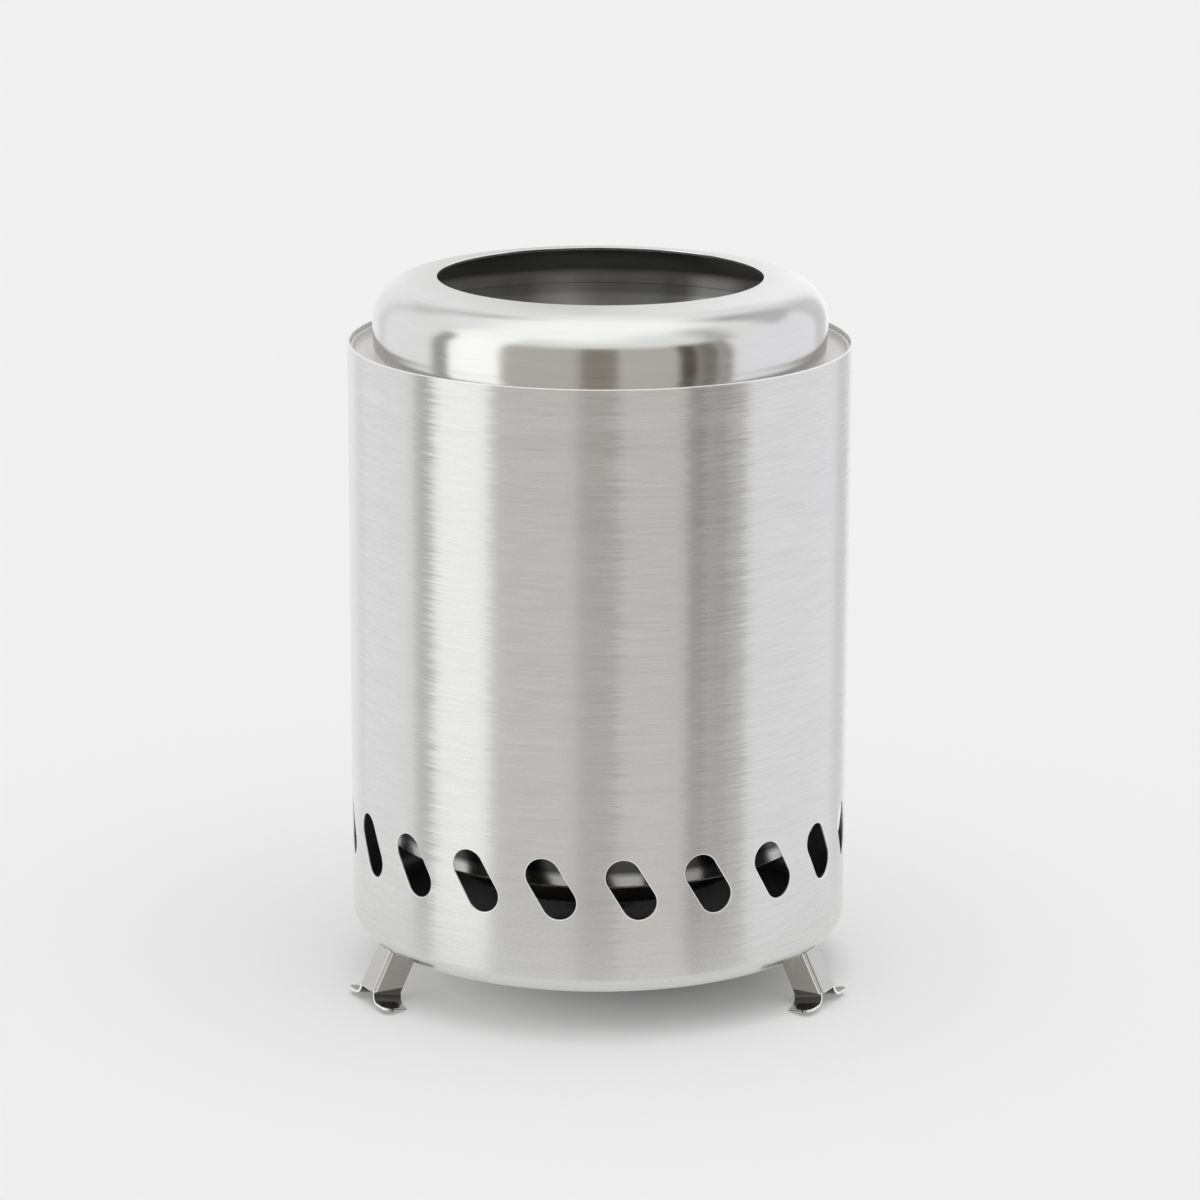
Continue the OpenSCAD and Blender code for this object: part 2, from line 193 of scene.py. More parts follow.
LOW_LIGHT = (0.92, 0.92, 0.93, 1.0)
TOP_LIGHT = (1.22, 1.22, 1.22, 1.0)
WHITE = (1.0, 1.0, 1.0, 1.0)

# Height of a direction at which each zone of the studio starts, and the height over which it
# fades in
LOW_END, LOW_FADE = -0.21, 0.24
EAVES_START, EAVES_FADE = 0.44, 0.08
ROOF_START, ROOF_FADE = 0.62, 0.16
TOP_START, TOP_FADE = 0.82, 0.12

# Camera, floor and lamp
SENSOR_WIDTH = 36.0                 # in millimetres, as the lens is
CLIP_START, CLIP_END = 0.05, 60.0
FLOOR_SIDES = 96
LAMP_PLACE = (0.3, -0.6, 2.0)
LAMP_TURN = (math.radians(14), math.radians(8), 0.0)


class SheetProperties(bpy.types.PropertyGroup):
    """Sizes of the sheet and of its rounded edges."""

    sheet_thickness: FloatProperty(
        name="Sheet thickness", description="Thickness of the outer shell's sheet",
        default=0.7 * MM, min=0.3 * MM, max=1.5 * MM, unit="LENGTH", precision=5)
    edge_round: FloatProperty(
        name="Edge round", description="Width of the rounding on the shell's cut edges",
        default=0.28 * MM, min=0.02 * MM, max=0.32 * MM, unit="LENGTH", precision=5)
    leg_edge_round: FloatProperty(
        name="Leg edge round", description="Width of the rounding on the legs' cut edges",
        default=0.16 * MM, min=0.02 * MM, max=0.3 * MM, unit="LENGTH", precision=5)
    ring_edge_round: FloatProperty(
        name="Ring edge round", description="Width of the rounding on the flame ring's edges",
        default=0.28 * MM, min=0.02 * MM, max=0.4 * MM, unit="LENGTH", precision=5)
    leg_shortest_edge: FloatProperty(
        name="Shortest leg edge", description="Length under which an edge of a leg isn't rounded",
        default=0.35 * MM, min=0.0, max=2.0 * MM, unit="LENGTH", precision=5)
    edge_steps: IntProperty(
        name="Edge steps", description="Faces across the rounding of an edge",
        default=2, min=1, max=4)
    sharp_angle: FloatProperty(
        name="Sharp angle", description="Turn between two faces past which their edge is rounded",
        default=math.radians(38), min=0.1, max=1.5, subtype="ANGLE")


class SteelProperties(bpy.types.PropertyGroup):
    """Colours and finishes of the steel."""

    shell_colour: FloatVectorProperty(
        name="Shell colour", description="Colour of the outer shell's steel",
        subtype="COLOR", size=4, default=(0.72, 0.72, 0.71, 1.0), min=0.0, max=1.0)
    ring_colour: FloatVectorProperty(
        name="Ring colour", description="Colour of the flame ring's steel",
        subtype="COLOR", size=4, default=(0.74, 0.74, 0.73, 1.0), min=0.0, max=1.0)
    pot_colour: FloatVectorProperty(
        name="Pot colour", description="Colour of the fire pot's, the floor's and the pan's steel",
        subtype="COLOR", size=4, default=(0.46, 0.455, 0.45, 1.0), min=0.0, max=1.0)
    # Painted shade of the dark space between the walls, put on the shell's inside and the pot's
    # outside
    plenum_shade_colour: FloatVectorProperty(
        name="Unpolished colour", description="Colour of the unpolished steel between the walls",
        subtype="COLOR", size=4, default=(0.2, 0.2, 0.2, 1.0), min=0.0, max=1.0)
    leg_colour: FloatVectorProperty(
        name="Leg colour", description="Colour of the legs' steel",
        subtype="COLOR", size=4, default=(0.56, 0.555, 0.54, 1.0), min=0.0, max=1.0)
    # Painted shade: the legs' upright sides are darker than their webs
    leg_side_shade_colour: FloatVectorProperty(
        name="Leg side colour", description="Colour of the legs' upright sides",
        subtype="COLOR", size=4, default=(0.33, 0.31, 0.29, 1.0), min=0.0, max=1.0)
    # Painted shade in the curl of the feet
    curl_shade_colour: FloatVectorProperty(
        name="Curl colour", description="Colour of the scale in the curl of the feet",
        subtype="COLOR", size=4, default=(0.06, 0.055, 0.05, 1.0), min=0.0, max=1.0)
    edge_colour: FloatVectorProperty(
        name="Edge colour", description="Colour of a cut and polished edge",
        subtype="COLOR", size=4, default=(0.96, 0.96, 0.95, 1.0), min=0.0, max=1.0)
    wire_colour: FloatVectorProperty(
        name="Wire colour", description="Colour of the grate's wire",
        subtype="COLOR", size=4, default=(0.42, 0.41, 0.40, 1.0), min=0.0, max=1.0)
    shell_roughness: FloatProperty(
        name="Shell roughness", description="Roughness of the brushed shell",
        default=0.27, min=0.0, max=1.0, subtype="FACTOR")
    ring_roughness: FloatProperty(
        name="Ring roughness", description="Roughness of the spun ring",
        default=0.17, min=0.0, max=1.0, subtype="FACTOR")
    brush_tilt: FloatProperty(
        name="Brush tilt", description="Turn of the surface from one brush line to the next",
        default=0.13, min=0.0, max=0.4)
    brush_lines: FloatProperty(
        name="Brush lines", description="Brush lines to a metre of height",
        default=1500.0, min=100.0, max=9000.0)
    shell_contrast: FloatProperty(
        name="Shell contrast", description="Change of the shell's colour between its brush lines",
        default=0.09, min=0.0, max=0.4)
    ring_contrast: FloatProperty(
        name="Ring contrast", description="Change of the ring's colour between its spinning lines",
        default=0.035, min=0.0, max=0.4)


class StudioProperties(bpy.types.PropertyGroup):
    """Camera, floor and light."""

    camera_distance: FloatProperty(
        name="Camera distance", description="Level distance from the stove's axis to the camera",
        default=1.3464, min=0.3, max=6.0, unit="LENGTH")
    camera_height: FloatProperty(
        name="Camera height", description="Height of the camera above the floor",
        default=0.47095, min=0.0, max=3.0, unit="LENGTH")
    camera_dip: FloatProperty(
        name="Camera dip", description="Angle by which the camera looks down",
        default=math.radians(14.505), min=0.0, max=1.5, subtype="ANGLE")
    camera_roll: FloatProperty(
        name="Camera roll", description="Turn of the camera about its own axis",
        default=0.00374, min=-0.5, max=0.5, subtype="ANGLE")
    lens: FloatProperty(
        name="Lens", description="Focal length of the camera in millimetres",
        default=129.6, min=20.0, max=300.0, unit="CAMERA")
    lens_shift: FloatProperty(
        name="Lens shift", description="Level shift of the lens, as a share of the picture",
        default=0.00069, min=-0.1, max=0.1)
    floor_colour: FloatVectorProperty(
        name="Floor colour", description="Colour of the studio's floor",
        subtype="COLOR", size=4, default=(0.85, 0.85, 0.85, 1.0), min=0.0, max=1.0)
    backdrop_colour: FloatVectorProperty(
        name="Backdrop colour", description="Colour behind the floor, as the camera sees it",
        subtype="COLOR", size=4, default=(0.858, 0.858, 0.856, 1.0), min=0.0, max=1.0)
    floor_radius: FloatProperty(
        name="Floor radius", description="Radius of the floor",
        default=9.0, min=1.0, max=30.0, unit="LENGTH")
    table_radius: FloatProperty(
        name="Table radius", description="Radius within which the floor shows in the steel",
        default=0.18, min=0.1, max=3.0, unit="LENGTH")
    shade_share: FloatProperty(
        name="Shade under the base", description="Share of the floor's colour left under the base",
        default=0.48, min=0.0, max=1.0, subtype="FACTOR")
    shade_radius: FloatProperty(
        name="Shade radius", description="Radius at which the shade under the base ends",
        default=0.07, min=0.0, max=0.3, unit="LENGTH")
    shade_fade: FloatProperty(
        name="Shade fade", description="Width over which the shade under the base fades in",
        default=0.04, min=0.001, max=0.3, unit="LENGTH")
    shade_aside: FloatProperty(
        name="Shade aside", description="Distance of the shade's middle from the axis towards +X",
        default=0.015, min=-0.1, max=0.1, unit="LENGTH")
    shadow_lift: FloatProperty(
        name="Shadow lift", description="Share of the floor that the camera sees unshadowed",
        default=0.2, min=0.0, max=1.0, subtype="FACTOR")
    mirror_lift: FloatProperty(
        name="Mirror lift", description="Share of the floor that the steel shows unshadowed",
        default=0.7, min=0.0, max=1.0, subtype="FACTOR")
    sun_strength: FloatProperty(
        name="Sun strength", description="Strength of the soft light overhead",
        default=0.9, min=0.0, max=5.0)
    sun_spread: FloatProperty(
        name="Sun spread", description="Angle that the soft light overhead fills",
        default=math.radians(70), min=0.0, max=3.1, subtype="ANGLE")
    room_strength: FloatProperty(
        name="Room strength", description="Strength of the even light of the room",
        default=0.76, min=0.0, max=3.0)


class Signal:
    """A socket of a shader, on which arithmetic adds the nodes that it needs."""

    def __init__(self, graph, socket):
        self.graph = graph
        self.socket = socket

    def maths(self, operation, *terms):
        """A Math node on the terms, or on this value alone if there are none."""
        inputs = dict(enumerate(terms or (self,)))
        return self.graph.node("ShaderNodeMath", {"operation": operation}, inputs)

    def __add__(self, other):
        return self.maths("ADD", self, other)

    def __radd__(self, other):
        return self.maths("ADD", other, self)

    def __sub__(self, other):
        return self.maths("SUBTRACT", self, other)

    def __rsub__(self, other):
        return self.maths("SUBTRACT", other, self)

    def __mul__(self, other):
        return self.maths("MULTIPLY", self, other)

    def __rmul__(self, other):
        return self.maths("MULTIPLY", other, self)

    def __truediv__(self, other):
        return self.maths("DIVIDE", self, other)

    def __rtruediv__(self, other):
        return self.maths("DIVIDE", other, self)

    def __abs__(self):
        return self.maths("ABSOLUTE")

    def root(self):
        """The square root of this value."""
        return self.maths("SQRT")

    def above(self, edge):
        """1 where this value is over the edge, and else 0."""
        return self.maths("GREATER_THAN", self, edge)

    def clamped(self):
        """This value, kept between 0 and 1."""
        return self.graph.node("ShaderNodeClamp", {}, {"Value": self})

    def rising(self, start, fade):
        """0 up to the start, and 1 past the fade after it."""
        return ((self - start) / fade).clamped()

    def falling(self, end, fade):
        """1 up to the fade before the end, and 0 past it."""
        return ((end - self) / fade).clamped()

    def between(self, low, high, fade):
        """1 between two edges, fading over a width about each."""
        return ((self - low) / fade + 0.5).clamped() * ((high - self) / fade + 0.5).clamped()


class Graph:
    """The nodes of one material or of the world."""

    def __init__(self, owner):
        owner.use_nodes = True
        self.tree = owner.node_tree
        self.tree.nodes.clear()

    def fill(self, socket, value):
        """Links a signal to a socket, or sets its value."""
        if isinstance(value, Signal):
            self.tree.links.new(value.socket, socket)
        else:
            socket.default_value = value

    def node(self, kind, settings=None, inputs=None, output=0):
        """Adds a node, sets it up, fills its sockets and gives one of its outputs."""
        made = self.tree.nodes.new(kind)
        for name, value in (settings or {}).items():
            setattr(made, name, value)
        for name, value in (inputs or {}).items():
            self.fill(made.inputs[name], value)
        return Signal(self, made.outputs[output]) if made.outputs else None

    def vector(self, operation, *terms):
        """A Vector Math node on the terms."""
        return self.node("ShaderNodeVectorMath", {"operation": operation}, dict(enumerate(terms)))

    def scaled(self, vector, factor):
        """A vector times a number."""
        return self.node("ShaderNodeVectorMath", {"operation": "SCALE"},
                         {0: vector, "Scale": factor})

    def joined(self, x, y, z):
        """A vector from three numbers."""
        return self.node("ShaderNodeCombineXYZ", {}, {0: x, 1: y, 2: z})

    def split(self, vector):
        """The three numbers of a vector."""
        made = self.node("ShaderNodeSeparateXYZ", {}, {0: vector}).socket.node
        return [Signal(self, output) for output in made.outputs]

    def mixed(self, factor, low, high):
        """Two colours, mixed by a factor."""
        made = self.tree.nodes.new("ShaderNodeMix")
        made.data_type = "RGBA"
        for name, value in (("Factor", factor), ("A", low), ("B", high)):
            self.fill(next(s for s in made.inputs if s.name == name and s.enabled), value)
        return Signal(self, next(s for s in made.outputs if s.enabled))

    def blended(self, factor, low, high):
        """Two shaders, mixed by a factor."""
        return self.node("ShaderNodeMixShader", {}, {0: factor, 1: low, 2: high})

    def noise(self, place, scale=1.0, detail=2.0, roughness=0.5):
        """Smooth noise about its middle value at a place, with a scale."""
        return self.node("ShaderNodeTexNoise", {"noise_dimensions": "3D"}, {
            "Vector": place, "Scale": scale, "Detail": detail, "Roughness": roughness})

    def rays(self):
        """Whether the camera looks straight at this, and whether it shows in a glossy surface."""
        path = self.node("ShaderNodeLightPath").socket.node
        return [Signal(self, path.outputs[name]) for name in ("Is Camera Ray", "Is Glossy Ray")]


def darker(colour, share):
    """A colour times a share, with its alpha kept at 1."""
    return tuple(channel * share for channel in colour[:3]) + (1.0,)


class Finish:
    """The colour, roughness and normal of a steel while its layers are put on."""

    def __init__(self, graph, colour, roughness):
        self.graph = graph
        self.colour = self.bare_colour = colour
        self.roughness = roughness
        self.metallic = 1.0
        self.place = graph.node("ShaderNodeTexCoord", {}, {}, "Object")
        self.x, self.y, self.z = graph.split(self.place)
        self.radius = (self.x * self.x + self.y * self.y).root()
        self.facing = self.normal = graph.node("ShaderNodeNewGeometry", {}, {}, "Normal")
        face_x, face_y, self.upward = graph.split(self.facing)
        self.outward = (face_x * self.x + face_y * self.y) / self.radius

    def stretched(self, x_waves, y_waves, z_waves):
        """The point on the piece, stretched for a noise."""
        return self.graph.joined(self.x * x_waves, self.y * y_waves, self.z * z_waves)

    def inward(self, under):
        """1 on a face that looks to the axis, or up (under is -1) or down (under is 1); else 0."""
        return (0.5 - FACING_GAIN * (self.outward + self.upward * under)).clamped()

    def straighten(self, mask):
        """Makes the surface a true cylinder round the axis where the mask is 1."""
        graph = self.graph
        radial = graph.scaled(graph.joined(self.x, self.y, 0.0), mask / self.radius)
        turned = graph.vector("ADD", graph.scaled(self.facing, 1.0 - mask), radial)
        self.facing = self.normal = graph.vector("NORMALIZE", turned)

    def lean(self, way):
        """Turns the surface by a small vector."""
        self.normal = self.graph.vector("NORMALIZE", self.graph.vector("ADD", self.normal, way))

    def brush(self, lines, tilt, contrast):
        """Brush lines that run round the stove's axis, each a little turned from the next."""
        graph = self.graph
        line = graph.noise(self.stretched(BRUSH_SPREAD, BRUSH_SPREAD, lines),
                           detail=4.0, roughness=0.75)
        smear = graph.noise(self.stretched(*SMEAR_WAVES))
        line_change, smear_change = line - NOISE_MIDDLE, smear - NOISE_MIDDLE
        round_way = graph.vector("CROSS_PRODUCT", UPRIGHT, self.facing)
        self.lean(graph.scaled(round_way, line_change * tilt))
        self.roughness = (self.roughness + line_change * LINE_ROUGHNESS
                          + smear_change * SMEAR_ROUGHNESS)
        change = line_change * LINE_SHARE + smear_change * (1.0 - LINE_SHARE)
        shade = (change * SHADE_GAIN + 0.5).clamped()
        self.colour = graph.mixed(shade, darker(self.colour, 1.0 - contrast),
                                  darker(self.colour, 1.0 + contrast))

    def grain(self, waves, strength):
        """Fine grain and soft clouds of sheet as it leaves the mill."""
        graph = self.graph
        fine = graph.noise(self.place, waves, detail=3.0, roughness=0.6)
        cloud = graph.noise(self.place, CLOUD_WAVES)
        self.roughness = (self.roughness + (fine - NOISE_MIDDLE) * GRAIN_ROUGHNESS
                          + (cloud - NOISE_MIDDLE) * CLOUD_ROUGHNESS)
        low, high = CLOUD_SHADES
        self.colour = graph.mixed(cloud, darker(self.colour, low), darker(self.colour, high))
        self.normal = graph.node("ShaderNodeBump", {}, {
            "Strength": strength, "Distance": GRAIN_HEIGHT, "Height": fine})

    def upright_reflection_patches(self):
        """Soft upright patches of painted reflection round a rolled wall."""
        graph = self.graph
        patch = graph.noise(self.stretched(*REFLECTION_PATCH_WAVES), detail=1.0)
        low, high = REFLECTION_PATCH_SHADES
        self.colour = graph.mixed(patch.rising(REFLECTION_PATCH_START, REFLECTION_PATCH_FADE),
                                  darker(self.bare_colour, low), darker(self.bare_colour, high))

    def layer(self, mask, colour, roughness):
        """Another colour and roughness where the mask is 1."""
        self.colour = self.graph.mixed(mask, self.colour, colour)
        self.roughness = self.roughness * (1.0 - mask) + mask * roughness

    def dull(self, mask, metallic):
        """Less of a mirror where the mask is 1."""
        self.metallic = 1.0 - mask * (1.0 - metallic)

    def stain(self, mask, colour, share):
        """The stained inside of the mouth, with patches of painted reflection on it, where the
        mask is 1.
        """
        graph = self.graph
        streak = graph.noise(self.stretched(*STAIN_WAVES))
        # Painted reflection patches, lighter than the stains, at fixed places across x
        mouth_reflection = 0.0
        for left, right, fade, strength in MOUTH_REFLECTION_PATCHES:
            mouth_reflection = mouth_reflection + self.x.between(left, right, fade) * strength
        low, high = STAIN_SHADES
        tone = graph.mixed(streak.rising(STAIN_START, STAIN_FADE),
                           darker(colour, share * low), darker(colour, share * high))
        self.layer(mask, graph.mixed(mouth_reflection, tone, darker(colour, MOUTH_REFLECTION_SHADE)), roughness=0.34)
        self.dull(mask, STAINED_METALLIC)


def steel(name, colour, roughness, anisotropy, put_on):
    """A material of bare steel, whose layers the function put_on adds to its finish."""
    material = bpy.data.materials.new(name)
    graph = Graph(material)
    finish = Finish(graph, colour, roughness)
    put_on(finish)
    shader = graph.node("ShaderNodeBsdfPrincipled", {}, {
        "Base Color": finish.colour,
        "Roughness": finish.roughness.clamped(),
        "Metallic": finish.metallic,
        "Anisotropic": anisotropy,
        "Anisotropic Rotation": QUARTER_TURN,
        "Normal": finish.normal,
    })
    graph.node("ShaderNodeOutputMaterial", {}, {"Surface": shader})
    return material


def edge_steel(name, colour, metallic=1.0):
    """The bright steel of a cut and polished edge."""

    def put_on(finish):
        finish.grain(*EDGE_GRAIN)
        finish.dull(1.0, metallic)

    return steel(name, colour, roughness=0.2, anisotropy=0.0, put_on=put_on)


def clear_selection():
    """Leaves edit mode and deselects everything."""
    if bpy.context.object and bpy.context.object.mode != "OBJECT":
        bpy.ops.object.mode_set(mode="OBJECT")
    bpy.ops.object.select_all(action="DESELECT")


def select_only(piece):
    """Selects one object and makes it active."""
    clear_selection()
    piece.select_set(True)
    bpy.context.view_layer.objects.active = piece


def paint(piece, *materials):
    """Gives a piece its materials, the main one first."""
    piece.data.materials.clear()
    for material in materials:
        piece.data.materials.append(material)


def paint_nodes(material, *nodes):
    """Gives CAD nodes that are shown as they are one material."""
    for node in nodes:
        paint(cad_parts[node], material)


def weigh_edges(mesh, sharp_angle, shortest):
    """Marks for rounding the sharp edges that are long enough for it."""
    normals = {}
    for face in mesh.polygons:
        for key in face.edge_keys:
            normals.setdefault(key, []).append(face.normal)
    weight = mesh.attributes.new("bevel_weight_edge", "FLOAT", "EDGE")
    for edge in mesh.edges:
        sides = normals.get(edge.key, [])
        start, end = (mesh.vertices[index].co for index in edge.vertices)
        sharp = len(sides) == 2 and sides[0].angle(sides[1]) > sharp_angle
        if sharp and (end - start).length > shortest:
            weight.data[edge.index].value = 1.0


def tuck(piece, node, reach):
    """Puts back on the CAD node's surface each point that its rounding threw past the reach."""
    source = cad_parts[node].data
    surface = BVHTree.FromPolygons([vertex.co for vertex in source.vertices],
                                   [tuple(face.vertices) for face in source.polygons])
    for vertex in piece.data.vertices:
        nearest, _, _, distance = surface.find_nearest(vertex.co)
        if distance > reach:
            vertex.co = nearest


def rounded_copy(node, name, sheet, width, shortest=0.0):
    """A copy of a CAD node with its doubles merged and its sharp edges rounded."""
    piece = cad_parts[node].copy()
    piece.data = piece.data.copy()
    piece.name = name
    piece.data.name = name
    piece.parent = None
    piece.matrix_world = Matrix.Identity(4)
    bpy.context.scene.collection.objects.link(piece)
    paint(piece, None, None)
    select_only(piece)
    bpy.ops.object.mode_set(mode="EDIT")
    bpy.ops.mesh.select_all(action="SELECT")
    bpy.ops.mesh.remove_doubles(threshold=max(MERGE_DISTANCE, MERGE_SHARE * shortest))
    bpy.ops.mesh.dissolve_degenerate(threshold=SMALLEST_FACE)
    bpy.ops.mesh.dissolve_limited(angle_limit=FLAT_ANGLE)
    bpy.ops.object.mode_set(mode="OBJECT")
    weigh_edges(piece.data, sheet.sharp_angle, shortest)
    edge = piece.modifiers.new("edge", "BEVEL")
    edge.width = width
    edge.segments = sheet.edge_steps
    edge.limit_method = "WEIGHT"
    edge.use_clamp_overlap = False
    edge.material = 1
    bpy.ops.object.modifier_apply(modifier=edge.name)
    tuck(piece, node, width)
    bpy.ops.object.shade_smooth_by_angle(angle=SMOOTH_ANGLE)
    even = piece.modifiers.new("even", "WEIGHTED_NORMAL")
    even.keep_sharp = True
    bpy.ops.object.modifier_apply(modifier=even.name)
    return piece


def seat(piece, node, body, slot, *materials):
    """Makes a finished piece stand for its CAD node."""
    for index, material in enumerate(materials):
        piece.data.materials[index] = material
    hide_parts(node)
    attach(piece, body)


class STOVE_OT_outer_shell(bpy.types.Operator):
    """Finish the outer shell: rounded vent and rim edges, brushed round the axis"""

    bl_idname = "stove.outer_shell"
    bl_label = "Outer Shell"

    def execute(self, context):
        sheet, finishes = context.scene.stove_sheet, context.scene.stove_steel
        low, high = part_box("outer_shell")
        skin_r = high.x
        corner_z = low.z + SHELL_CORNER

        def put_on(finish):
            skin = finish.radius.rising(skin_r - SKIN_DEPTH, SKIN_FADE)
            finish.straighten(skin * finish.z.rising(corner_z, SHELL_CORNER_FADE))
            finish.brush(finishes.brush_lines, finishes.brush_tilt, finishes.shell_contrast)
            inside = finish.inward(-1.0)
            trough = inside * finish.z.rising(high.z - SHELL_TROUGH, SHELL_TROUGH_FADE)
            base = inside * finish.z.falling(low.z + SHELL_BASE, SHELL_BASE_FADE)
            # Painted shade on the shell's inside below the trough, and darker painted shade on its
            # base
            finish.layer(inside - trough, finishes.plenum_shade_colour, roughness=0.35)
            finish.layer(base, darker(finishes.plenum_shade_colour, share=0.25), roughness=0.4)
            # Painted light: the trough is a lighter, duller copy of the pot's steel
            finish.layer(trough, darker(finishes.pot_colour, share=1.35), roughness=0.5)
            finish.dull(trough, metallic=0.15)

        shell = rounded_copy("outer_shell", "outer_shell_finished", sheet, sheet.edge_round)
        self.mark_vent_cuts(shell, skin_r, corner_z, sheet.sheet_thickness)
        material = steel("brushed_shell_steel", finishes.shell_colour, finishes.shell_roughness,
                         anisotropy=0.9, put_on=put_on)
        edge = edge_steel("cut_shell_edge", finishes.edge_colour, metallic=0.3)
        seat(shell, "outer_shell", STOVE, "shell_steel", material, edge)
        return {"FINISHED"}

    def mark_vent_cuts(self, shell, skin_r, corner_z, sheet_t):
        """Gives the faces of the vents' cuts and of the rim the edge's material."""
        inner_r, outer_r = skin_r - (1.0 - CUT_MARGIN) * sheet_t, skin_r - CUT_MARGIN * sheet_t
        for face in shell.data.polygons:
            if face.center.z > corner_z and inner_r < face.center.xy.length < outer_r:
                face.material_index = 1


class STOVE_OT_flame_ring(bpy.types.Operator):
    """Finish the flame ring and its collar: rounded edges, spun steel"""

    bl_idname = "stove.flame_ring"
    bl_label = "Flame Ring"

    def execute(self, context):
        sheet, finishes = context.scene.stove_sheet, context.scene.stove_steel
        low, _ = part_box("flame_ring")
        line_share, tilt_share = RING_BRUSH

        def put_on(finish):
            finish.brush(line_share * finishes.brush_lines, tilt_share * finishes.brush_tilt,
                         finishes.ring_contrast)
            inside = finish.inward(1.0)
            stained = inside * finish.z.falling(low.z + RING_STAIN, RING_STAIN_FADE)
            wall = finish.z.falling(low.z + RING_WALL, RING_WALL_FADE)
            hem = finish.z.falling(low.z + RING_HEM, RING_HEM_FADE)
            finish.lean(finish.graph.joined(0.0, 0.0, (wall + hem) * (1.0 - inside) * RING_LEAN))
            # Painted shade on the inside above the stains, under the crown
            finish.layer(inside - stained, darker(finishes.pot_colour, share=0.45), roughness=0.3)
            finish.stain(stained, finishes.pot_colour, share=0.95)

        ring = rounded_copy("flame_ring", "flame_ring_finished", sheet, sheet.ring_edge_round)
        material = steel("spun_ring_steel", finishes.ring_colour, finishes.ring_roughness,
                         anisotropy=0.6, put_on=put_on)
        edge = edge_steel("polished_ring_edge", finishes.edge_colour)
        seat(ring, "flame_ring", RING, "ring_steel", material, edge)

        def put_on_collar(finish):
            finish.grain(*FINE_GRAIN)
            # Stains with painted reflection patches over the whole collar
            finish.stain(1.0, finishes.pot_colour, share=0.75)
            # Painted shade: the collar's faces that look up are made darker
            top = finish.upward.rising(COLLAR_TOP_FACING, COLLAR_TOP_FADE)
            finish.layer(top, darker(finishes.pot_colour, share=0.2), roughness=0.4)

        collar = steel("rolled_collar_steel", finishes.pot_colour, roughness=0.32,
                       anisotropy=0.5, put_on=put_on_collar)
        paint_nodes(collar, "ring_collar")
        return {"FINISHED"}


class STOVE_OT_fire_pot(bpy.types.Operator):
    """Finish the fire pot, its floor and the ash pan"""

    bl_idname = "stove.fire_pot"
    bl_label = "Fire Pot"

    def execute(self, context):
        finishes = context.scene.stove_steel
        _, pot_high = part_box("fire_pot")
        _, floor_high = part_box("pot_floor")
        pan_low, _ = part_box("ash_pan")

        def put_on_pot(finish):
            finish.grain(*FINE_GRAIN)
            # Painted reflection patches on the pot's wall
            finish.upright_reflection_patches()
            deck = finish.z.rising(pot_high.z - DECK_DROP, DECK_FADE)
            outside = finish.radius.rising(floor_high.x + POT_SKIN, POT_SKIN_FADE) * (1.0 - deck)
            # Painted reflection: a light band round the pot's outside at the height of its floor
            polished = outside * finish.z.falling(floor_high.z, POT_REFLECTION_FADE)
            # Painted shade on the pot's outside, between the walls
            finish.layer(outside, darker(finishes.plenum_shade_colour, share=0.42), roughness=0.3)
            finish.layer(polished, darker(finishes.edge_colour, share=0.55), roughness=0.26)
            # Painted light: the deck is a lighter, duller copy of the pot's steel
            finish.layer(deck, darker(finishes.pot_colour, share=1.7), roughness=0.5)
            finish.dull((deck + (1.0 - outside) * POT_INSIDE_DULL).clamped(), metallic=0.15)

        def put_on_pan(finish):
            finish.grain(*FINE_GRAIN)
            # Painted highlight: a thin light band round the pan's bottom edge
            pan_highlight = finish.z.between(pan_low.z - PAN_HIGHLIGHT_REACH, pan_low.z + PAN_HIGHLIGHT_REACH, PAN_HIGHLIGHT_FADE)
            finish.layer(pan_highlight, finishes.edge_colour, roughness=0.4)
            finish.dull(pan_highlight, metallic=0.0)

        pot = steel("mill_pot_steel", finishes.pot_colour, roughness=0.26, anisotropy=0.3,
                    put_on=put_on_pot)
        pan = steel("mill_pan_steel", finishes.pot_colour, roughness=0.3, anisotropy=0.0,
                    put_on=put_on_pan)
        paint_nodes(pot, "fire_pot", "pot_floor")
        paint_nodes(pan, "ash_pan")
        return {"FINISHED"}


class STOVE_OT_grate(bpy.types.Operator):
    """Finish the wire grate"""

    bl_idname = "stove.grate"
    bl_label = "Grate"

    def execute(self, context):
        wire = steel("drawn_wire_steel", context.scene.stove_steel.wire_colour, roughness=0.36,
                     anisotropy=0.0, put_on=lambda finish: finish.grain(*WIRE_GRAIN))
        paint_nodes(wire, "grate_rim", "grate_runners", "grate_bars")
        return {"FINISHED"}


